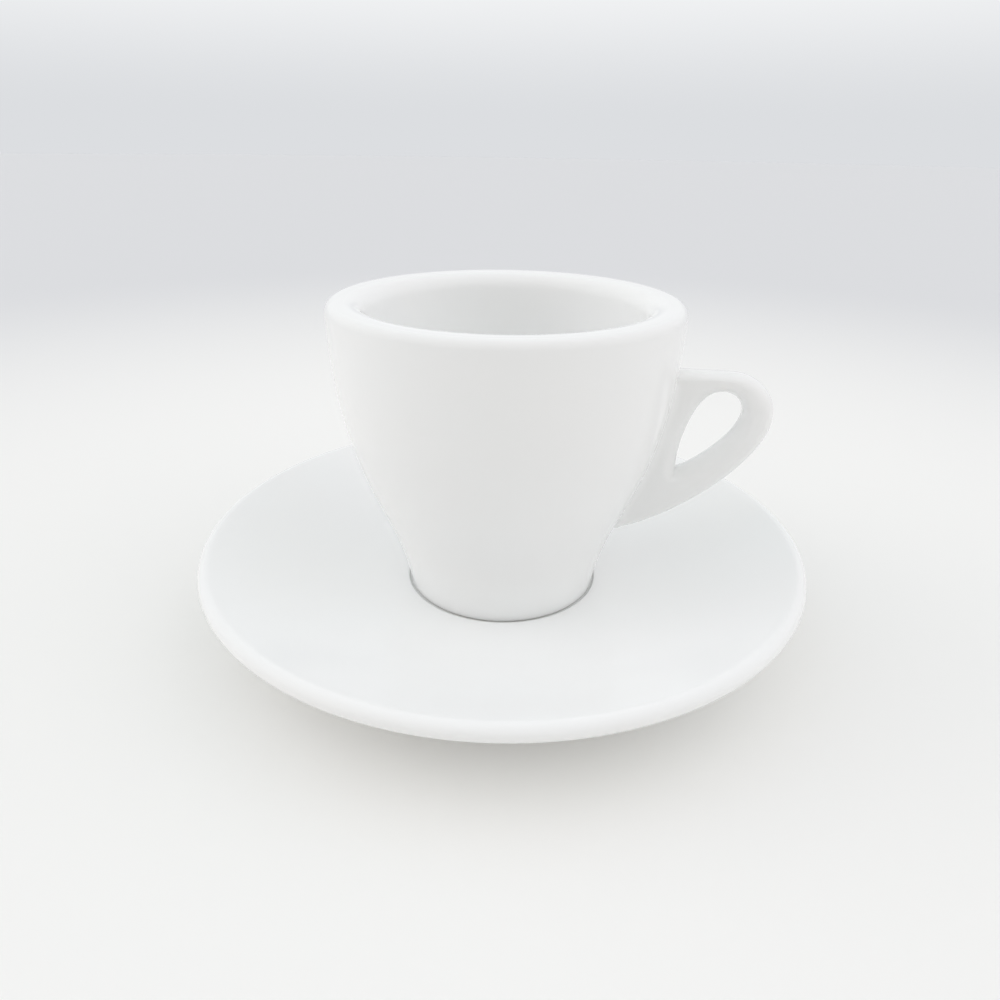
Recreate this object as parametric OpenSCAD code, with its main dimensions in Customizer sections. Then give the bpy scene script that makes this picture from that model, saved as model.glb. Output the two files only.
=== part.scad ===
// Espresso cup with its saucer, in glazed white porcelain. All sizes are in millimetres.
// The saucer stands on the plane Z = 0 with its middle at the origin.
// The cup stands in the saucer's seat, and its handle points along +X.

/* [Cup wall] */
// Outer diameter across the lip
rim_d = 62; // [56:0.5:70]
// Height from the standing face to the top of the lip
cup_h = 55.3; // [50:0.1:60]
// Outer diameter of the foot
foot_d = 36.8; // [32:0.1:42]
// Angle from upright at which the wall leaves the foot
foot_lean = 8; // [4:0.5:14]
// Length over which the wall is drawn along the foot's lean
foot_pull = 18; // [14:0.5:22]
// Angle from upright at which the wall reaches the lip
lip_lean = 1; // [0:0.5:4]
// Length over which the wall is drawn along the lip's lean
lip_pull = 31.5; // [24:0.5:34]

/* [Cup lip] */
// Thickness of the wall at the lip
lip_t = 6.6; // [5:0.1:7.5]
// Rounding of the lip's outer edge
lip_outer_round = 1.5; // [0.8:0.1:2]
// Rounding of the lip's inner edge
lip_inner_round = 3.4; // [2:0.1:4]

/* [Cup inside] */
// Thickness of the floor above the hollow of the foot
floor_t = 4.5; // [3.5:0.1:6]
// Half width over which the floor is drawn level
bowl_r = 17.5; // [14:0.5:19]
// Length over which the inner wall is drawn down from the lip
inner_pull = 24; // [18:0.5:28]
// Angle from upright at which the inner wall leaves the lip
inner_lean = 8; // [4:0.5:10]

/* [Cup foot] */
// Width of the ring that the cup stands on
foot_ring_w = 3.2; // [2.4:0.1:4.5]
// Depth of the hollow inside the ring
foot_hollow = 1.8; // [1:0.1:2.5]
// Rounding of the ring's edges
foot_round = 0.8; // [0.4:0.1:1]

/* [Handle] */
// Drop from the top of the lip to the handle's top edge
handle_drop = 10.9; // [9:0.1:13]
// Height of the handle from its top edge to the tip of its tail
handle_h = 31.4; // [28:0.1:34]
// Reach of the handle beyond the wall at its top edge
handle_reach = 17; // [14:0.1:20]
// Rounding of the loop's outer corner
crown_round = 7.6; // [6:0.1:8.5]
// Length over which the outer edge is drawn down from that corner
side_pull = 7.7; // [5:0.1:9]
// Length over which the outer edge is drawn along the rise of the tail
tail_pull = 13; // [9:0.1:15]
// Angle at which the outer edge rises from the tip of the tail
tail_rise = 16; // [8:0.5:20]
// Thickness of the loop above the finger hole
crown_band = 3.3; // [2.6:0.1:4.4]
// Thickness of the loop beside the finger hole
side_band = 5.4; // [4:0.1:6.5]
// Thickness of the handle across, at its root and tail
root_t = 7; // [5:0.1:9]
// Thickness of the handle across, at its crown
crown_t = 5.6; // [4.4:0.1:7]
// Rounding of the handle's level top edge
top_edge = 1; // [0.6:0.1:1.4]
// Rounding of its outer edge beside and under the loop
side_edge = 2.8; // [1.5:0.1:3]
// Rounding of the edges of its finger hole
hole_edge = 2.3; // [1.4:0.1:2.6]
// Rounding where the handle's faces meet the wall
root_fillet = 2; // [0.8:0.1:2.6]
// Rounding where the handle's narrow edges meet the wall
edge_fillet = 0.4; // [0.2:0.1:1]

/* [Finger hole] */
// Width of the finger hole
hole_w = 10.1; // [8:0.1:11]
// Height of the finger hole
hole_h = 15.4; // [12:0.1:16]
// Rounding of its wide upper end
hole_round = 3.6; // [2.5:0.1:4]
// Rounding of its narrow lower end
hole_tip_round = 1.4; // [0.8:0.1:2]
// Length over which its side next to the wall is drawn upright
hole_wall_pull = 5.2; // [2:0.1:6]
// Length over which its top is drawn level
hole_top_pull = 4.2; // [2:0.1:5]
// Length over which its outer side is drawn upright
hole_side_pull = 4.2; // [2:0.1:5]
// Length over which its lower side is drawn along the rise of its narrow end
hole_tip_pull = 3.4; // [2:0.1:4]
// Angle at which its lower side rises from the narrow end
hole_tip_rise = 31; // [25:0.5:45]

/* [Saucer] */
// Outer diameter of the saucer
saucer_d = 114.6; // [104:0.2:124]
// Height from the standing face to the top of the saucer's lip
saucer_h = 17.7; // [14.5:0.1:20]
// Thickness of the saucer's rounded lip
saucer_lip_t = 3; // [2.4:0.1:3.6]
// Angle at which the saucer rises to its lip
saucer_rise = 25; // [18:0.5:32]
// Length over which the saucer is drawn along that rise
rise_pull = 8; // [5:0.5:11]
// Length over which the saucer is drawn level around the seat
level_pull = 16; // [10:0.5:20]
// Thickness of the saucer under the cup
seat_t = 4.8; // [3.5:0.1:6]
// Depth of the seat that holds the cup's foot
seat_depth = 0.5; // [0.3:0.1:0.8]
// Gap around the cup's foot in the seat
seat_gap = 0.3; // [0.2:0.1:1]

/* [Saucer foot] */
// Outer diameter of the ring that the saucer stands on
base_d = 66; // [58:0.5:72]
// Width of that ring
base_ring_w = 4; // [3:0.1:5.5]
// Depth of the hollow inside the ring
base_hollow = 2.2; // [1.4:0.1:3]
// Height of the ring on its outer side
base_h = 4.2; // [3:0.1:5]
// Angle at which the underside leaves the ring
base_rise = 8; // [3:0.5:14]
// Length over which the underside is drawn along that angle
base_pull = 9; // [6:0.5:12]
// Rounding of the ring's edges
base_round = 0.9; // [0.5:0.1:1.2]
// Rounding where the underside meets the ring
base_fillet = 1.4; // [0.8:0.1:1.8]

/* [Hidden] */
$fn = 96;

glaze_white = "#F2F3F1";

// Steps along each drawn curve and along each small arc
curve_steps = 16;
arc_steps = 6;

rim_r = rim_d / 2;
foot_r = foot_d / 2;
base_r = base_d / 2;
saucer_r = saucer_d / 2;
seat_z = base_hollow + seat_t;
seat_r = foot_r + seat_gap;
seat_top_z = seat_z + seat_depth;

// Point at t on the cubic curve with the control points p
function cubic(p, t) =
    pow(1 - t, 3) * p[0] + 3 * pow(1 - t, 2) * t * p[1] + 3 * (1 - t) * t * t * p[2] + pow(t, 3) * p[3];

// Points along that curve, with both ends
function curve(p, steps = curve_steps) = [for (i = [0:steps]) cubic(p, i / steps)];

// Points along an arc, with both ends
function arc(centre, r, from, to, steps = arc_steps) =
    [for (i = [0:steps]) let (a = from + (to - from) * i / steps) centre + r * [cos(a), sin(a)]];

// Direction at an angle from level, and at an angle from upright
function level(a) = [cos(a), sin(a)];
function upright(a) = [sin(a), cos(a)];

// Share of a radius at which a cubic curve follows a quarter circle
quarter = 0.55;

// Cup wall, from the foot's edge up to the lip, then over the lip
foot_edge = arc([foot_r - foot_round, foot_round], foot_round, -90, 0);
lip_outer_edge = arc([rim_r - lip_outer_round, cup_h - lip_outer_round], lip_outer_round, -lip_lean, 90);
wall_start = [foot_r, foot_round];
wall_end = lip_outer_edge[0];
wall_path = curve([
    wall_start,
    wall_start + foot_pull * upright(foot_lean),
    wall_end - lip_pull * upright(lip_lean),
    wall_end
]);

// Cup inside, from the lip's inner edge down to the middle of the floor
lip_inner_centre = [rim_r - lip_t + lip_inner_round, cup_h - lip_inner_round];
lip_inner_edge = arc(lip_inner_centre, lip_inner_round, 90, 180 - inner_lean);
inner_start = lip_inner_edge[arc_steps];
floor_z = foot_hollow + floor_t;
inner_path = curve([
    inner_start,
    inner_start - inner_pull * upright(inner_lean),
    [bowl_r, floor_z],
    [0, floor_z]
]);

// Hollow under the cup, from its middle out to the standing ring
hollow_r = foot_r - foot_ring_w;
hollow_path = concat(
    [[0, foot_hollow]],
    arc([hollow_r - foot_hollow / 2, foot_hollow / 2], foot_hollow / 2, 90, 0),
    arc([hollow_r + foot_round, foot_round], foot_round, 180, 270)
);

// Radius of the cup's wall at a height above its standing face
wall_table = [for (p = wall_path) [p[1], p[0]]];
function wall_r(z) = lookup(z, wall_table);

module cup_profile() {
    polygon(concat(hollow_path, foot_edge, wall_path, lip_outer_edge, lip_inner_edge, inner_path));
}

// The cup as if it were filled to the lip, which the handle's root fits against
module cup_outside() {
    rotate_extrude()
        polygon(concat([[0, 0]], foot_edge, wall_path, lip_outer_edge, [[0, cup_h]]));
}

module cup_body() {
    color(glaze_white)
        translate([0, 0, seat_z])
            rotate_extrude()
                cup_profile();
}

// Handle, drawn in the plane Y = 0 with heights above the cup's standing face.
// The finger hole and the outer edge are closed curves with the same number of
// points, and a rounded section runs from each point of one to its fellow.
handle_top = cup_h - handle_drop;
tail_z = handle_top - handle_h;
reach_x = wall_r(handle_top) + handle_reach;
hole_right = reach_x - side_band;
hole_left = hole_right - hole_w;
hole_top = handle_top - crown_band;
hole_low = hole_top - hole_h;
// How far the root is carried into the wall before it is fitted to the cup
root_sink = 3.4;

function sunk(z) = [min(wall_r(z), hole_left) - root_sink, z];

// Finger hole, starting at its narrow end and running up the side next to the wall
hole_crown = [hole_right - hole_round, hole_top];
hole_side = [hole_right, hole_top - hole_round];
hole_tip = [hole_left, hole_low];
hole_tip_high = hole_tip + [0, hole_tip_round];
hole_tip_low = hole_tip + hole_tip_round * level(hole_tip_rise);
hole_up = [
    hole_tip_high,
    hole_tip_high + [0, hole_wall_pull],
    hole_crown - [hole_top_pull, 0],
    hole_crown
];
hole_turn = [
    hole_crown,
    hole_crown + [quarter * hole_round, 0],
    hole_side + [0, quarter * hole_round],
    hole_side
];
hole_under = [
    hole_side,
    hole_side - [0, hole_side_pull],
    hole_tip_low + hole_tip_pull * level(hole_tip_rise),
    hole_tip_low
];
hole_end = [hole_tip_low, hole_tip, hole_tip, hole_tip_high];

// Outer edge: the crown's turn, then the long under edge down to the tail
edge_crown = [reach_x - crown_round, handle_top];
edge_side = [reach_x, handle_top - crown_round];
tail_tip = [wall_r(tail_z), tail_z];
edge_turn = [
    edge_crown,
    edge_crown + [quarter * crown_round, 0],
    edge_side + [0, quarter * crown_round],
    edge_side
];
edge_under = [
    edge_side,
    edge_side - [0, side_pull],
    tail_tip + tail_pull * level(tail_rise),
    tail_tip
];
// Share of the under edge that lies beside the finger hole
under_split = 0.66;

// Steps around the loop: the root, the top edge, the crown, the under edge,
// the tail and the sunk end of the tail
root_steps = 8;
top_steps = 8;
crown_steps = 10;
under_steps = 14;
tail_steps = 9;
sunk_steps = 4;

// Points along a curve or a line, without the last one
function open_curve(p, steps, from = 0, to = 1) =
    [for (i = [0:steps - 1]) cubic(p, from + (to - from) * i / steps)];
function open_line(a, b, steps) = [for (i = [0:steps - 1]) a + (b - a) * i / steps];
function open_root(low, high, steps) = [for (i = [0:steps - 1]) sunk(low + (high - low) * i / steps)];

hole_path = concat(
    open_curve(hole_up, root_steps + top_steps),
    open_curve(hole_turn, crown_steps),
    open_curve(hole_under, under_steps),
    open_curve(hole_end, tail_steps + sunk_steps)
);
edge_path = concat(
    open_root(hole_low, handle_top, root_steps),
    open_line(sunk(handle_top), edge_crown, top_steps),
    open_curve(edge_turn, crown_steps),
    open_curve(edge_under, under_steps, 0, under_split),
    open_curve(edge_under, tail_steps, under_split, 1),
    open_root(tail_z, hole_low, sunk_steps)
);
loop_steps = len(hole_path);

// Half thickness of the handle at a height: full at the root and tail, less at the crown
function half_t(z) =
    let (rise = min(1, max(0, (z - hole_low) / (handle_top - hole_low))))
    (root_t + (crown_t - root_t) * rise * rise * (3 - 2 * rise)) / 2;

// Swelling at a distance from the wall, as a quarter round of the fillet's radius
function swell(d, fillet) =
    let (away = min(fillet, max(0, d)))
    fillet - sqrt(pow(fillet, 2) - pow(fillet - away, 2));

// One side of a section, from the hole's edge over a face to the outer edge.
// Each point is [along, across] and the way that it faces, [along, across].
cap_steps = 4;
face_steps = 3;
function half_section(length, inner_round, outer_round, half) = concat(
    [for (i = [0:cap_steps - 1])
        let (a = 90 * i / cap_steps)
        [inner_round * (1 - cos(a)), half * sin(a), -cos(a), sin(a)]],
    [for (i = [0:face_steps])
        [inner_round + (length - inner_round - outer_round) * i / face_steps, half, 0, 1]],
    [for (i = [1:cap_steps])
        let (a = 90 * i / cap_steps)
        [length - outer_round * (1 - sin(a)), half * cos(a), sin(a), cos(a)]]
);
function other_side(q) = [q[0], -q[1], q[2], -q[3]];

// The largest share of a section that its rounding takes at the hole and at the outer edge
inner_share = 0.42;
outer_share = 0.55;

// A whole section. Each point is set back to the side as the round wall is.
function section(i) =
    let (
        inner = hole_path[i],
        outer = edge_path[i],
        length = norm(outer - inner),
        along = (outer - inner) / length,
        upward = pow(max(0, along[1]), 2),
        outer_round = min(side_edge + (top_edge - side_edge) * upward, outer_share * length),
        inner_round = min(hole_edge, inner_share * length),
        half = half_t((inner[1] + outer[1]) / 2),
        upper = half_section(length, inner_round, outer_round, half),
        lower = [for (k = [len(upper) - 2:-1:1]) other_side(upper[k])]
    )
    [for (q = concat(upper, lower))
        let (
            place = inner + along * q[0],
            from_wall = place[0] - wall_r(place[1]),
            moved = place + along * q[2] * swell(from_wall, edge_fillet),
            side = q[1] + q[3] * swell(from_wall, root_fillet)
        )
        [sqrt(pow(moved[0], 2) - pow(side, 2)), side, moved[1]]];

sections = [for (i = [0:loop_steps - 1]) section(i)];
section_count = len(sections[0]);

module handle_loop() {
    points = [for (s = sections) for (p = s) p];
    faces = [
        for (i = [0:loop_steps - 1])
            for (k = [0:section_count - 1])
                let (
                    here = i * section_count,
                    next = ((i + 1) % loop_steps) * section_count,
                    after = (k + 1) % section_count
                )
                each [
                    [here + k, here + after, next + after],
                    [here + k, next + after, next + k]
                ]
    ];
    polyhedron(points, faces, convexity = 6);
}

module cup_handle() {
    color(glaze_white)
        translate([0, 0, seat_z])
            difference() {
                handle_loop();
                cup_outside();
            }
}

// Saucer: the seat, the upper side, the lip, the underside and the standing ring
saucer_lip_r = saucer_lip_t / 2;
saucer_lip_centre = [saucer_r - saucer_lip_r, saucer_h - saucer_lip_r];
seat_edge = arc([seat_r + seat_depth, seat_z], seat_depth, 180, 90);
dish_start = [seat_r + seat_depth, seat_top_z];
saucer_lip = arc(saucer_lip_centre, saucer_lip_r, 90 + saucer_rise, saucer_rise - 90, 2 * arc_steps);
dish_end = saucer_lip[0];
dish_path = curve([
    dish_start,
    dish_start + [level_pull, 0],
    dish_end - rise_pull * level(saucer_rise),
    dish_end
]);
under_start = saucer_lip[len(saucer_lip) - 1];
under_end = [base_r, base_h] + base_fillet * level(base_rise);
under_path = curve([
    under_start,
    under_start - rise_pull * level(saucer_rise),
    under_end + base_pull * level(base_rise),
    under_end
]);
fillet_end = [base_r, base_h - base_fillet];
fillet_path = curve([
    under_end,
    under_end - quarter * base_fillet * level(base_rise),
    fillet_end + [0, quarter * base_fillet],
    fillet_end
], arc_steps);
base_in_r = base_r - base_ring_w;
base_path = concat(
    arc([base_r - base_round, base_round], base_round, 0, -90),
    arc([base_in_r + base_round, base_round], base_round, 270, 180),
    arc([base_in_r - base_hollow / 2, base_hollow / 2], base_hollow / 2, 0, 90)
);

module saucer() {
    color(glaze_white)
        rotate_extrude()
            polygon(concat(
                [[0, base_hollow], [0, seat_z]],
                seat_edge,
                dish_path,
                saucer_lip,
                under_path,
                fillet_path,
                base_path
            ));
}

cup_body();
cup_handle();
saucer();
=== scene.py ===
# %% [markdown]
# An espresso cup on its saucer.
# The cup is a small thick-walled bowl on a narrow foot, with a looped handle that is pinched between
# finger and thumb. It stands loose in a shallow seat in the middle of the saucer. Both are porcelain
# under a clear, glossy glaze. The measured solids are loaded first, and each finer piece is modelled
# in the place of its solid, so nothing has to be fitted afterwards.

# %% Load the measured solids
from math import cos, pi, radians, sin, sqrt

import bmesh
import bpy
from mathutils import Matrix, Vector
from mathutils.geometry import interpolate_bezier


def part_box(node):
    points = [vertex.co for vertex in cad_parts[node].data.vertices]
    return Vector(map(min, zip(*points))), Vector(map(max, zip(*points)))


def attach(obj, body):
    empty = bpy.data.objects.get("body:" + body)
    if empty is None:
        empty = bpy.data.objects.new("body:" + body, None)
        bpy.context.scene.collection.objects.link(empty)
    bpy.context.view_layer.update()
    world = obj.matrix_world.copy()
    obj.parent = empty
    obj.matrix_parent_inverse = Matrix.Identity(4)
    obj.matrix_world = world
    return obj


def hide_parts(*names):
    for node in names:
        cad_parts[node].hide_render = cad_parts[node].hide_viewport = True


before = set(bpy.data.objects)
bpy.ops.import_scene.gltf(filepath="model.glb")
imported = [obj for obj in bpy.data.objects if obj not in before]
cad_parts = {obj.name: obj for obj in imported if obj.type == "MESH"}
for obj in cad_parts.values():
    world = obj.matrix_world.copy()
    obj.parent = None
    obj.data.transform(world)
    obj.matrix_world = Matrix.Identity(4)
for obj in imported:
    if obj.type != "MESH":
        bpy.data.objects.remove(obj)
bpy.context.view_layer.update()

print("solids loaded:", sorted(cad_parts))

# %% [markdown]
# Porcelain is turned on a spindle or cast in a mould, and its outline is drawn first as a section.
# A section can be drawn with dozens of points, but a few smooth curves and small arcs say the same
# and stay easy to change. Small helpers give the points along a curve, an arc and a line, in
# millimetres, as distance from the axis and height. A curve whose two arms are 0.55 of a radius long
# comes very close to a quarter round.

# %% Points along a curve, an arc and a line
MM = 0.001
quarter = 0.55


def towards(angle, length):
    """A step of that length, at an angle in degrees from level."""
    return Vector((cos(radians(angle)), sin(radians(angle)))) * length


def curve(start, leave, arrive, end, steps):
    """A smooth curve that leaves start along one arm and arrives at end along the other."""
    return interpolate_bezier(start, start + leave, end - arrive, end, steps + 1)


def arc(centre, radius, first, last, steps):
    """An arc between two angles in degrees, both ends included."""
    return [centre + towards(first + (last - first) * i / steps, radius) for i in range(steps + 1)]


def line(start, end, steps):
    """Evenly spaced points from start to end."""
    return [start.lerp(end, i / steps) for i in range(steps + 1)]


# %% [markdown]
# The cup's section runs from the hollow under its foot, round the foot, up the wall, over the lip and
# down the inside. The overall sizes come from the solid itself. The wall is one long curve that leaves
# the foot leaning outwards and reaches the lip almost upright. The lip is broad and level with two
# soft edges, because a thick wall keeps a small coffee warm.

# %% Draw the cup's section
cup_low, cup_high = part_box("cup_body")
stand_z = cup_low.z / MM
rim_r = cup_high.x / MM
cup_h = (cup_high.z - cup_low.z) / MM
foot_r = 18.4
foot_ring_w = 3.2
foot_hollow = 1.8
foot_round = 0.8
hollow_r = foot_r - foot_ring_w
hollow_round = foot_hollow / 2
foot_lean, foot_pull = 8, 18
lip_lean, lip_pull = 1, 31.5
lip_t = 6.6
lip_outer_round = 1.5
lip_inner_round = 3.4
inner_lean, inner_pull = 8, 24
bowl_r = 17.5
floor_z = 6.3
up, right = Vector((0, 1)), Vector((1, 0))

lip_corner = Vector((rim_r - lip_outer_round, cup_h - lip_outer_round))
outer_edge = arc(lip_corner, lip_outer_round, -lip_lean, 90, 12)
lip_inner_corner = Vector((rim_r - lip_t + lip_inner_round, cup_h - lip_inner_round))
inner_edge = arc(lip_inner_corner, lip_inner_round, 90, 180 - inner_lean, 18)
lip = outer_edge + line(outer_edge[-1], inner_edge[0], 6)[1:-1] + inner_edge
wall_start = Vector((foot_r, foot_round))
wall_leave = towards(90 - foot_lean, foot_pull)
wall_arrive = towards(90 - lip_lean, lip_pull)
wall = curve(wall_start, wall_leave, wall_arrive, outer_edge[0], 48)
inside_leave = -towards(90 - inner_lean, inner_pull)
inside = curve(inner_edge[-1], inside_leave, -right * bowl_r, Vector((0, floor_z)), 56)
foot = (
    [Vector((0, foot_hollow))]
    + arc(Vector((hollow_r - hollow_round, hollow_round)), hollow_round, 90, 0, 6)
    + arc(Vector((hollow_r + foot_round, foot_round)), foot_round, 180, 270, 8)
    + arc(Vector((foot_r - foot_round, foot_round)), foot_round, 270, 360, 8)
)
cup_section = foot + wall + lip + inside
print("cup section:", len(cup_section), "points, mouth", round(2 * rim_r, 1), "mm across")

# %% [markdown]
# A round piece can be lathed by a modifier or by the spin tool. Spin is used here, because it leaves a
# plain mesh that can be worked on. A circle with one vertex per point is laid on the section, its last
# edge is taken out so that it becomes an open line, and the line is spun round the axis. The vertices
# on the axis and along the seam are merged before the normals are turned outwards.

# %% Lay a circle on an outline, and spin an open one
MERGE = 0.004 * MM


def lay_outline(name, places, closed):
    """Adds a circle whose vertices lie on places, in order. It is left in edit mode, all selected."""
    bpy.ops.object.select_all(action="DESELECT")
    bpy.ops.mesh.primitive_circle_add(vertices=len(places), radius=rim_r * MM)
    piece = bpy.context.object
    piece.name = piece.data.name = name
    for vertex, place in zip(piece.data.vertices, places):
        vertex.co = place
    bpy.ops.object.mode_set(mode="EDIT")
    bpy.ops.mesh.select_mode(type="EDGE")
    if not closed:
        bpy.ops.mesh.select_all(action="DESELECT")
        shape = bmesh.from_edit_mesh(piece.data)
        shape.verts.ensure_lookup_table()
        shape.edges.get((shape.verts[0], shape.verts[-1])).select_set(True)
        bpy.ops.mesh.delete(type="EDGE")
    bpy.ops.mesh.select_all(action="SELECT")
    return piece


def close_mesh():
    """Merges doubled vertices, turns the faces outwards, leaves edit mode and shades smooth."""
    bpy.ops.mesh.select_all(action="SELECT")
    bpy.ops.mesh.remove_doubles(threshold=MERGE)
    bpy.ops.mesh.normals_make_consistent(inside=False)
    bpy.ops.object.mode_set(mode="OBJECT")
    bpy.ops.object.shade_smooth()


def turn_piece(name, section, base_z, steps):
    """Spins a section, in millimetres above base_z, once round the upright axis."""
    places = [Vector((p.x, 0, p.y + base_z)) * MM for p in section]
    piece = lay_outline(name, places, closed=False)
    bpy.ops.mesh.spin(steps=steps, angle=2 * pi, center=(0, 0, 0), axis=(0, 0, 1))
    close_mesh()
    print(name, "turned:", len(piece.data.polygons), "faces")
    return piece


# %% [markdown]
# The cup is turned in one go, from the hollow under its foot to the middle of its floor. It could be
# spun in a few steps and smoothed by a modifier, but many steps keep the lip truly round as it is.

# %% Turn the cup
cup = turn_piece("cup_wall", cup_section, stand_z, steps=256)

# %% [markdown]
# The handle is cast by itself and stuck to the wall with wet clay. It is a flat loop with soft edges:
# a drop-shaped finger hole inside, and outside a level top, a round crown and a long under edge that
# runs back to the wall as a tail. Both outlines are drawn in the plane of the handle, with the same
# number of points, so that each point of the hole has a fellow on the outer edge.

# %% Sizes of the handle
handle_drop = 10.9
handle_h = 31.4
handle_reach = 17
side_band, crown_band = 5.4, 3.3
hole_w, hole_h = 10.1, 15.4
hole_round = 3.6
hole_tip_round = 1.4
hole_tip_rise = 31
hole_tip_pull, hole_top_pull = 5.2, 4.2
hole_side_pull, hole_low_pull = 4.2, 3.4
crown_round = 7.6
crown_pull = 7.7
tail_rise, tail_pull = 16, 13
root_sink = 3.4
root_steps, tail_steps = 30, 15

handle_top = cup_h - handle_drop
tail_z = handle_top - handle_h


def wall_radius(z):
    """Radius of the cup's outer wall at a height above its standing face."""
    for low, high in zip(wall, wall[1:]):
        if z <= high.y:
            return low.x + (high.x - low.x) * (z - low.y) / (high.y - low.y)
    return rim_r


reach = wall_radius(handle_top) + handle_reach
hole_right = reach - side_band
hole_left = hole_right - hole_w
hole_top = handle_top - crown_band
hole_low = hole_top - hole_h
print("finger hole:", hole_w, "by", hole_h, "mm")

# %% Draw the finger hole
hole_crown = Vector((hole_right - hole_round, hole_top))
hole_side = Vector((hole_right, hole_top - hole_round))
hole_tip = Vector((hole_left, hole_low))
tip_high = hole_tip + up * hole_tip_round
tip_low = hole_tip + towards(hole_tip_rise, hole_tip_round)
tip_arrive = -towards(hole_tip_rise, hole_low_pull)
bend = quarter * hole_round
hole = (
    curve(tip_high, up * hole_tip_pull, right * hole_top_pull, hole_crown, 54)[:-1]
    + curve(hole_crown, right * bend, -up * bend, hole_side, 30)[:-1]
    + curve(hole_side, -up * hole_side_pull, tip_arrive, tip_low, 42)[:-1]
    + curve(tip_low, hole_tip - tip_low, tip_high - hole_tip, tip_high, 36)[:-1]
)
print("finger hole:", len(hole), "points")

# %% Draw the handle's outer edge


def sunk(z):
    """A point inside the wall, where the root's end is out of sight, at a height."""
    return Vector((min(wall_radius(z), hole_left) - root_sink, z))


edge_crown = Vector((reach - crown_round, handle_top))
edge_side = Vector((reach, handle_top - crown_round))
tail_tip = Vector((wall_radius(tail_z), tail_z))
tail_arrive = -towards(tail_rise, tail_pull)
bend = quarter * crown_round
edge = (
    [sunk(hole_low + (handle_top - hole_low) * i / root_steps) for i in range(root_steps)]
    + line(sunk(handle_top), edge_crown, 24)[:-1]
    + curve(edge_crown, right * bend, -up * bend, edge_side, 30)[:-1]
    + curve(edge_side, -up * crown_pull, tail_arrive, tail_tip, 63)[:-1]
    + [sunk(tail_z + (hole_low - tail_z) * i / tail_steps) for i in range(tail_steps)]
)
print("handle's outer edge:", len(edge), "points")

# %% [markdown]
# Between each pair of points the handle has a rounded section: soft at the hole, flat on its face and
# soft again at the outer edge. It is thicker at its root than at its crown. Where it meets the wall,
# clay and glaze fill the corner, so its faces swell out there as a quarter round, which runs out
# towards the crisp top. A boolean could join it to the wall. Here each face simply ends where its
# spoke enters the wall, so the joint is one clean line, and the root runs on out of sight. Because
# the wall is round, a point to the side is set back by as much as the wall falls away.

# %% Work out the rings of the handle
root_half, crown_half = 3.5, 2.8
hole_soft, top_soft, side_soft = 2.3, 1, 2.8
face_fillet, edge_fillet = 2.0, 0.4
fillet_growth = 0.5
outer_share, hole_share, face_share = 0.55, 0.42, 0.9
skin, skin_step = 0.005, 0.05
skin_spread, spread_slope = 0.6, 12
cap_steps, face_steps, halvings = 10, 44, 24


def half_thickness(z):
    """Half the handle's thickness across, full at the root and tail and less at the crown."""
    rise = min(1, max(0, (z - hole_low) / (handle_top - hole_low)))
    return root_half + (crown_half - root_half) * rise * rise * (3 - 2 * rise)


def swell(distance, fillet):
    """How far the clay stands out at a distance from the wall. Under the wall's skin it spreads on,
    so that the light runs over the joint without a crease."""
    if distance < 0:
        return fillet + min(skin_spread, -spread_slope * distance)
    left = fillet - min(fillet, distance)
    return fillet - sqrt(fillet**2 - left**2)


def from_skin(flat):
    """Distance of a point in the handle's plane from just under the wall's surface."""
    return flat.x - wall_radius(flat.y) + skin


def to_skin(inner, along, length):
    """How far a spoke runs before it enters the wall, or its whole length if it doesn't."""
    low, high = 0, length
    for _ in range(halvings):
        middle = (low + high) / 2
        if from_skin(inner + along * middle) > 0:
            low = middle
        else:
            high = middle
    return high


def half_section(length, inner_soft, outer_soft, half):
    """One side, from the hole to the outer edge: along, across, and the way each point faces.
    The points crowd towards the end of the face, where the quarter round needs them, and one lies
    a step past it, which is under the skin where the face ends at the wall."""
    turn = [radians(90 * i / cap_steps) for i in range(cap_steps)]
    flat = length - inner_soft - outer_soft
    share = [sin(pi / 2 * i / face_steps) for i in range(face_steps + 1)]
    inner = [(inner_soft * (1 - cos(a)), half * sin(a), -cos(a), sin(a)) for a in turn]
    face = [(inner_soft + flat * t, half, 0, 1) for t in share]
    past = [(length - outer_soft + skin_step, half, 0, 1)]
    turn.reverse()
    outer = [(length - outer_soft * (1 - cos(a)), half * sin(a), cos(a), sin(a)) for a in turn]
    return inner + face + past + outer


def section_places(inner, outer):
    """The places of one whole section, round from the hole's edge and back to it."""
    spoke = outer - inner
    along = spoke.normalized()
    upward = max(0, along.y) ** 2
    outer_soft = min(side_soft + (top_soft - side_soft) * upward, outer_share * spoke.length)
    outer_soft = max(outer_soft, spoke.length - to_skin(inner, along, spoke.length))
    most = face_share * (spoke.length - outer_soft)
    inner_soft = min(hole_soft, hole_share * spoke.length, most)
    half = half_thickness((inner.y + outer.y) / 2)
    near = half_section(spoke.length, inner_soft, outer_soft, half)
    far = [(a, -b, c, -d) for a, b, c, d in near[-2::-1]]
    places = []
    for length, across, faces_along, faces_across in near + far:
        flat = inner + along * length
        from_wall = from_skin(flat)
        flat = flat + along * faces_along * swell(from_wall, edge_fillet)
        grown = edge_fillet + fillet_growth * (handle_top - flat.y)
        fillet = max(edge_fillet, min(face_fillet, grown))
        side = across + faces_across * swell(from_wall, fillet)
        places.append(Vector((sqrt(flat.x**2 - side**2), side, flat.y + stand_z)) * MM)
    return places


sections = [section_places(a, b) for a, b in zip(hole, edge)]
rings = list(zip(*sections))
print("handle rings:", len(rings), "of", len(rings[0]), "points")

# %% [markdown]
# The loop could be swept along a path, but its section changes all the way round. So the circle that
# is laid on the finger hole is extruded ring by ring, over the near face, round the outer edge and
# back over the far face, until it meets itself. Each vertex carries the number of its place in the
# ring, which an extruded vertex inherits, so every new ring falls into place.

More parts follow.
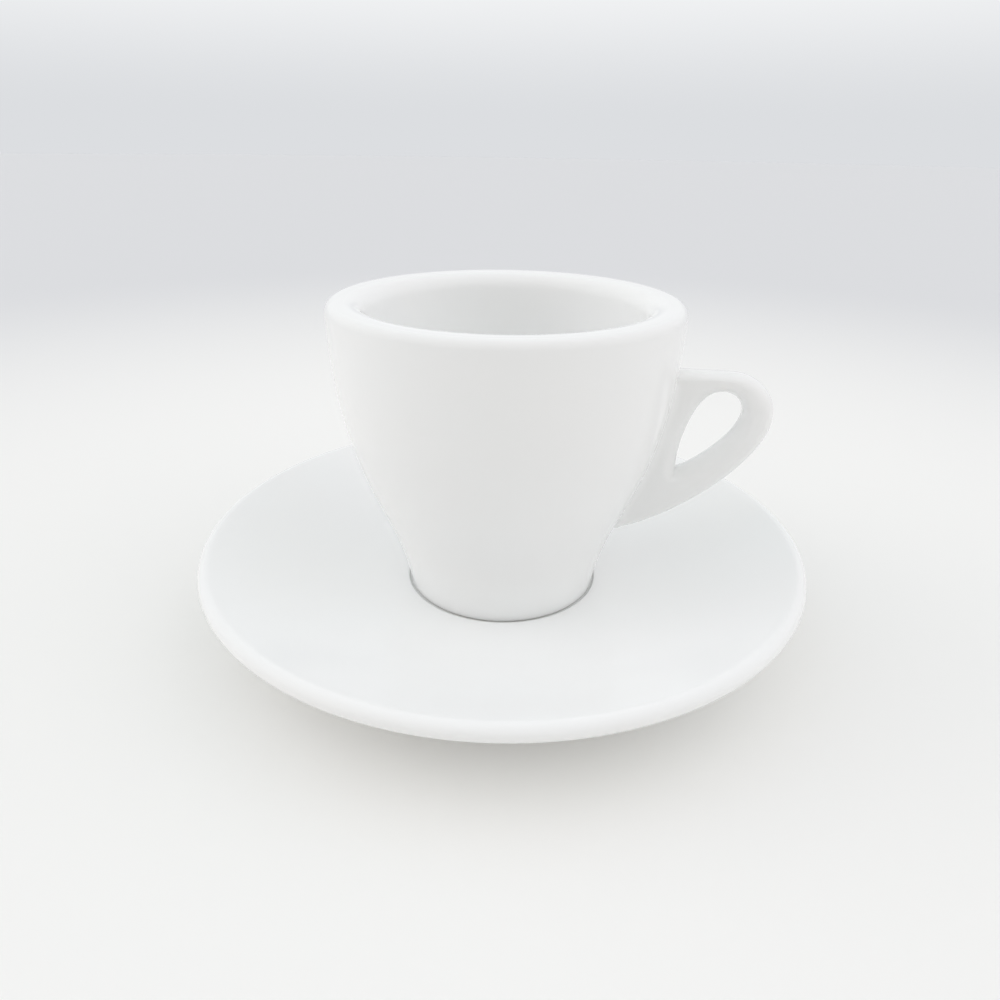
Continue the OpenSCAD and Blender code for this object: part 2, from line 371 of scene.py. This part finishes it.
# %% Extrude the handle round its section
handle = lay_outline("cup_handle_loop", rings[0], closed=True)
shape = bmesh.from_edit_mesh(handle.data)
number = shape.verts.layers.int.new("place_in_ring")
for vertex in shape.verts:
    vertex[number] = vertex.index
bmesh.update_edit_mesh(handle.data)

for ring in rings[1:]:
    bpy.ops.mesh.extrude_edges_move()
    shape = bmesh.from_edit_mesh(handle.data)
    number = shape.verts.layers.int["place_in_ring"]
    for vertex in shape.verts:
        if vertex.select:
            vertex.co = ring[vertex[number]]
    bmesh.update_edit_mesh(handle.data)
close_mesh()
handle.data.attributes.remove(handle.data.attributes["place_in_ring"])
print("handle extruded:", len(handle.data.polygons), "faces")

# %% [markdown]
# The saucer's section runs from the middle of the seat, over the low step that keeps the cup in place,
# along the dish to the lip, and back underneath to the ring that it stands on. The dish leaves the
# seat level and rises to the lip ever more steeply. Soft corners everywhere are what glaze makes of a
# turned edge.

# %% Draw the saucer's section
_, saucer_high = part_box("saucer")
saucer_r = saucer_high.x / MM
saucer_h = saucer_high.z / MM
seat_gap = 0.3
seat_r = foot_r + seat_gap
seat_depth = 0.5
seat_corner = 0.15
saucer_lip_r = 1.5
saucer_rise = 25
dish_pull, lip_arm = 16, 8
base_r = 33
base_ring_w = 4
base_in_r = base_r - base_ring_w
base_hollow = 2.2
base_h = 4.2
base_rise, base_pull = 8, 9
base_round = 0.9
base_fillet = 1.4

seat_edge = seat_depth - seat_corner
seat = (
    line(Vector((0, stand_z)), Vector((seat_r - seat_corner, stand_z)), 6)
    + arc(Vector((seat_r - seat_corner, stand_z + seat_corner)), seat_corner, 270, 360, 3)
    + arc(Vector((seat_r + seat_edge, stand_z + seat_corner)), seat_edge, 180, 90, 6)
)
lip_middle = Vector((saucer_r - saucer_lip_r, saucer_h - saucer_lip_r))
saucer_lip = arc(lip_middle, saucer_lip_r, 90 + saucer_rise, saucer_rise - 90, 22)
dish_start = Vector((seat_r + seat_depth, stand_z + seat_depth))
dish_arrive = towards(saucer_rise, lip_arm)
dish = curve(dish_start, right * dish_pull, dish_arrive, saucer_lip[0], 40)
under_end = Vector((base_r, base_h)) + towards(base_rise, base_fillet)
under = curve(saucer_lip[-1], -dish_arrive, -towards(base_rise, base_pull), under_end, 30)
fillet_end = Vector((base_r, base_h - base_fillet))
bend = quarter * base_fillet
fillet = curve(under_end, -towards(base_rise, bend), -up * bend, fillet_end, 8)
hollow_bend = base_hollow / 2
base = (
    arc(Vector((base_r - base_round, base_round)), base_round, 0, -90, 8)
    + arc(Vector((base_in_r + base_round, base_round)), base_round, 270, 180, 8)
    + arc(Vector((base_in_r - hollow_bend, hollow_bend)), hollow_bend, 0, 90, 8)
    + line(Vector((base_in_r - 2 * hollow_bend, base_hollow)), Vector((0, base_hollow)), 6)
)
saucer = turn_piece("saucer_dish", seat + dish + saucer_lip + under + fillet + base, 0, steps=192)

# %% [markdown]
# The cup and its handle move together when the cup is lifted, and the saucer stays. Each new piece
# rides on the body of its solid and stands in for it.

# %% Put the pieces in the place of their solids
for piece, body, node_name in (
    (cup, "cup", "cup_body"),
    (handle, "cup", "cup_handle"),
    (saucer, "saucer", "saucer"),
):
    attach(piece, body)
    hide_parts(node_name)
    print(piece.name, "rides on", body)

# %% [markdown]
# Finishes are built from nodes. One helper adds a node, sets its properties and fills or links its
# inputs. Colours are written as the hex values that a screen shows and are turned to linear light,
# and the scale of a pattern is worked out from its size in millimetres.

# %% Helpers for finishes


def linear(code):
    """An sRGB hex colour as linear red, green, blue and alpha."""
    parts = [int(code[i : i + 2], 16) / 255 for i in (1, 3, 5)]
    return [p / 12.92 if p <= 0.04045 else ((p + 0.055) / 1.055) ** 2.4 for p in parts] + [1]


def per(size):
    """Texture scale for a pattern of that size in millimetres."""
    return 1 / (size * MM)


def add_node(tree, kind, inputs=None, **settings):
    """Adds a node, sets its properties, and fills or links its inputs."""
    added = tree.nodes.new(kind)
    for name, value in settings.items():
        setattr(added, name, value)
    for socket, value in (inputs or {}).items():
        if isinstance(value, bpy.types.NodeSocket):
            tree.links.new(value, added.inputs[socket])
        else:
            added.inputs[socket].default_value = value
    return added


def new_material(name):
    """An empty node material."""
    material = bpy.data.materials.new(name)
    material.use_nodes = True
    material.node_tree.nodes.clear()
    return material


# %% [markdown]
# Glazed porcelain is white clay under a layer of clear glass. The glass gives sharp reflections that
# waver a little, because it flowed while it melted. Its tone drifts between a warmer and a cooler
# white over a few centimetres, and now and then a speck of iron shows. All of this is faint: it only
# keeps the white from looking like paint.

# %% Glazed porcelain
drift_size, flow_size = 30, 9
speck_gap, speck_size = 7, 0.16
speckless_share = 0.93
ripple_depth = 0.02 * MM

glaze = new_material("glazed_porcelain")
tree = glaze.node_tree
place = add_node(tree, "ShaderNodeTexCoord").outputs["Object"]
drift = add_node(
    tree,
    "ShaderNodeTexNoise",
    {"Vector": place, "Scale": per(drift_size), "Detail": 2.0},
)
tone = add_node(
    tree,
    "ShaderNodeMix",
    {"Factor": drift.outputs["Fac"], "A": linear("#F9F9F8"), "B": linear("#F8FAFA")},
    data_type="RGBA",
)
cells = add_node(tree, "ShaderNodeTexVoronoi", {"Vector": place, "Scale": per(speck_gap)})
spot = add_node(
    tree,
    "ShaderNodeMath",
    {0: cells.outputs["Distance"], 1: speck_size / speck_gap},
    operation="LESS_THAN",
)
rare = add_node(
    tree,
    "ShaderNodeMath",
    {0: cells.outputs["Color"], 1: speckless_share},
    operation="GREATER_THAN",
)
speck = add_node(
    tree,
    "ShaderNodeMath",
    {0: spot.outputs[0], 1: rare.outputs[0]},
    operation="MULTIPLY",
)
specked = add_node(
    tree,
    "ShaderNodeMix",
    {"Factor": speck.outputs[0], "A": tone.outputs["Result"], "B": linear("#B9B2A4")},
    data_type="RGBA",
)
flow = add_node(
    tree,
    "ShaderNodeTexNoise",
    {"Vector": place, "Scale": per(flow_size), "Detail": 1.0},
)
sheen = add_node(
    tree,
    "ShaderNodeMapRange",
    {"Value": flow.outputs["Fac"], "To Min": 0.06, "To Max": 0.11},
)
ripple = add_node(
    tree,
    "ShaderNodeBump",
    {"Height": flow.outputs["Fac"], "Strength": 1.0, "Distance": ripple_depth},
)
shader = add_node(
    tree,
    "ShaderNodeBsdfPrincipled",
    {
        "Base Color": specked.outputs["Result"],
        "Roughness": sheen.outputs["Result"],
        "Normal": ripple.outputs["Normal"],
        "IOR": 1.5,
    },
)
add_node(tree, "ShaderNodeOutputMaterial", {"Surface": shader.outputs["BSDF"]})
print("finish:", glaze.name)

# %% [markdown]
# The rings that the cup and the saucer stand on are wiped free of glaze before firing, or they would
# stick to the kiln shelf. The bare clay is a little creamier, matt and finely gritty. Its grit is
# drawn half a millimetre wide, coarser than it is, because finer grit wouldn't show.

# %% Bare porcelain
grit_size = 0.5
grain_depth = 0.03 * MM

bare = new_material("unglazed_porcelain")
tree = bare.node_tree
place = add_node(tree, "ShaderNodeTexCoord").outputs["Object"]
grit = add_node(
    tree,
    "ShaderNodeTexNoise",
    {"Vector": place, "Scale": per(grit_size), "Detail": 3.0},
)
clay = add_node(
    tree,
    "ShaderNodeMix",
    {"Factor": grit.outputs["Fac"], "A": linear("#E4DFD3"), "B": linear("#EFEBE1")},
    data_type="RGBA",
)
grain = add_node(
    tree,
    "ShaderNodeBump",
    {"Height": grit.outputs["Fac"], "Strength": 1.0, "Distance": grain_depth},
)
shader = add_node(
    tree,
    "ShaderNodeBsdfPrincipled",
    {
        "Base Color": clay.outputs["Result"],
        "Normal": grain.outputs["Normal"],
        "Roughness": 0.75,
        "IOR": 1.5,
    },
)
add_node(tree, "ShaderNodeOutputMaterial", {"Surface": shader.outputs["BSDF"]})
print("finish:", bare.name)

# %% [markdown]
# Every piece is glazed all over, apart from the faces that stand on something: on the cup and the
# saucer, those within a hair of the plane that the piece stands on. They could be picked by hand, but
# picked by their height they are found again after any change of shape. The handle has none.

# %% Give each piece its finish
bare_rise = 0.12 * MM
for piece, stands_at in ((cup, stand_z * MM), (handle, None), (saucer, 0.0)):
    piece.data.materials.append(glaze)
    if stands_at is None:
        continue
    piece.data.materials.append(bare)
    ring = [f for f in piece.data.polygons if f.center.z < stands_at + bare_rise]
    for face in ring:
        face.material_index = 1
    print(piece.name, "stands on", len(ring), "bare faces")

# %% [markdown]
# The set stands on a table covered with matt white paper. The way light falls off away from the set is
# painted into the paper's colour: white beside the saucer, grading evenly all round to a pale grey
# further off, as under one soft light overhead.

# %% Floor
floor_r = 4
# Where the painted falloff of light begins and ends, in metres from the middle of the set.
painted_fade_start, painted_fade_end = 0.115, 0.45

bpy.ops.object.select_all(action="DESELECT")
bpy.ops.mesh.primitive_circle_add(
    vertices=128, radius=floor_r, fill_type="NGON", location=(0, 0, 0)
)
floor = bpy.context.object
floor.name = "floor"

paper = new_material("matt_white_paper")
tree = paper.node_tree
place = add_node(tree, "ShaderNodeTexCoord").outputs["Object"]
away = add_node(tree, "ShaderNodeVectorMath", {0: place}, operation="LENGTH")
# The paper's colour darkens with distance from the set. This is painted falloff of light, not a tone
# of the paper.
painted_light_fade = add_node(
    tree,
    "ShaderNodeMapRange",
    {"Value": away.outputs["Value"], "From Min": painted_fade_start, "From Max": painted_fade_end},
    interpolation_type="SMOOTHSTEP",
)
shade = add_node(
    tree,
    "ShaderNodeMix",
    {"Factor": painted_light_fade.outputs["Result"], "A": linear("#F8F8F6"), "B": linear("#DFE0E2")},
    data_type="RGBA",
)
shader = add_node(
    tree,
    "ShaderNodeBsdfPrincipled",
    {"Base Color": shade.outputs["Result"], "Roughness": 0.7, "IOR": 1.4},
)
add_node(tree, "ShaderNodeOutputMaterial", {"Surface": shader.outputs["BSDF"]})
floor.data.materials.append(paper)
print("floor laid")

# %% [markdown]
# White porcelain shows its shape only by the light around it. The set stands in a pale room between
# two windows: bright from both sides, softer from above, and dim low down in front, where the camera
# stands in the light. A studio would use softboxes, and a dark card in front. Here each of these is a
# soft patch of the world, given by its bearing from the front and its height, both in degrees, how
# narrow it is, and the colour that it adds to the room's or, in front, takes from it.

# %% Glows around the set
room = (0.59, 0.585, 0.57)
glows = (
    (0, 50, 7, (0.51, 0.55, 0.51)),
    (60, 50, 7, (0.42, 0.44, 0.45)),
    (120, 50, 7, (0.42, 0.42, 0.48)),
    (240, 50, 7, (0.02, 0.11, 0.15)),
    (300, 50, 7, (0.44, 0.41, 0.50)),
    (90, 14, 9, (0.77, 0.71, 0.74)),
    (270, 14, 9, (1.38, 1.30, 1.21)),
    (9, 10, 4, (-0.53, -0.58, -0.58)),
)

world = bpy.data.worlds.new("pale_room")
bpy.context.scene.world = world
world.use_nodes = True
tree = world.node_tree
tree.nodes.clear()
way = add_node(tree, "ShaderNodeTexCoord").outputs["Generated"]
light = room
for bearing, height, narrow, colour in glows:
    level = cos(radians(height))
    aim = (sin(radians(bearing)) * level, -cos(radians(bearing)) * level, sin(radians(height)))
    facing = add_node(tree, "ShaderNodeVectorMath", {0: way, 1: aim}, operation="DOT_PRODUCT")
    ahead = add_node(
        tree,
        "ShaderNodeMath",
        {0: facing.outputs["Value"], 1: 0.0},
        operation="MAXIMUM",
    )
    patch = add_node(tree, "ShaderNodeMath", {0: ahead.outputs[0], 1: narrow}, operation="POWER")
    added = add_node(
        tree,
        "ShaderNodeVectorMath",
        {0: colour, 1: patch.outputs[0], 2: light},
        operation="MULTIPLY_ADD",
    )
    light = added.outputs[0]
print("glows:", len(glows))

# %% [markdown]
# What the eye and the glaze see of the room is plainer than the light itself, so that no reflection
# burns out: at its foot the tone of the far end of the table, and above it the white of the ceiling.

# %% What is seen of the room
white_from, white_by = 0.02, 0.2
parts = add_node(tree, "ShaderNodeSeparateXYZ", {"Vector": way})
rise = add_node(
    tree,
    "ShaderNodeMapRange",
    {"Value": parts.outputs["Z"], "From Min": white_from, "From Max": white_by},
    interpolation_type="SMOOTHSTEP",
)
view = add_node(
    tree,
    "ShaderNodeMix",
    {"Factor": rise.outputs["Result"], "A": linear("#DCDEE1"), "B": linear("#F6F7F8")},
    data_type="RGBA",
)
path = add_node(tree, "ShaderNodeLightPath")
mirrored = add_node(
    tree,
    "ShaderNodeMath",
    {0: path.outputs["Is Glossy Ray"], 1: path.outputs["Is Transmission Ray"]},
    operation="MAXIMUM",
)
seen = add_node(
    tree,
    "ShaderNodeMath",
    {0: path.outputs["Is Camera Ray"], 1: mirrored.outputs[0]},
    operation="MAXIMUM",
)
glow = add_node(tree, "ShaderNodeBackground", {"Color": light})
shown = add_node(tree, "ShaderNodeBackground", {"Color": view.outputs["Result"]})
both = add_node(
    tree,
    "ShaderNodeMixShader",
    {0: seen.outputs[0], 1: glow.outputs[0], 2: shown.outputs[0]},
)
add_node(tree, "ShaderNodeOutputWorld", {"Surface": both.outputs[0]})
print("room ready:", world.name)

# %% [markdown]
# The camera stands close in front, 13 cm from the cup's axis and a little above its rim. It looks
# down at the cup through a wide lens, which is why the saucer's near edge looks so broad.

# %% Camera
eye_distance = 130.6 * MM
eye_height = 87.0 * MM
eye_turn = radians(9)
heading = radians(9.24)
look_down = radians(26.05)
roll = radians(0.865)
eye = (eye_distance * sin(eye_turn), -eye_distance * cos(eye_turn), eye_height)
bpy.ops.object.camera_add(location=eye)
camera = bpy.context.object
camera.name = "camera"
camera.rotation_euler = (
    Matrix.Rotation(heading, 3, "Z")
    @ Matrix.Rotation(pi / 2 - look_down, 3, "X")
    @ Matrix.Rotation(roll, 3, "Z")
).to_euler()
camera.data.sensor_width = 36
camera.data.lens = 26.64
camera.data.clip_start = 0.005
bpy.context.scene.camera = camera
bpy.context.scene.view_settings.view_transform = "Standard"
print("camera at", [round(x / MM) for x in camera.location], "mm")
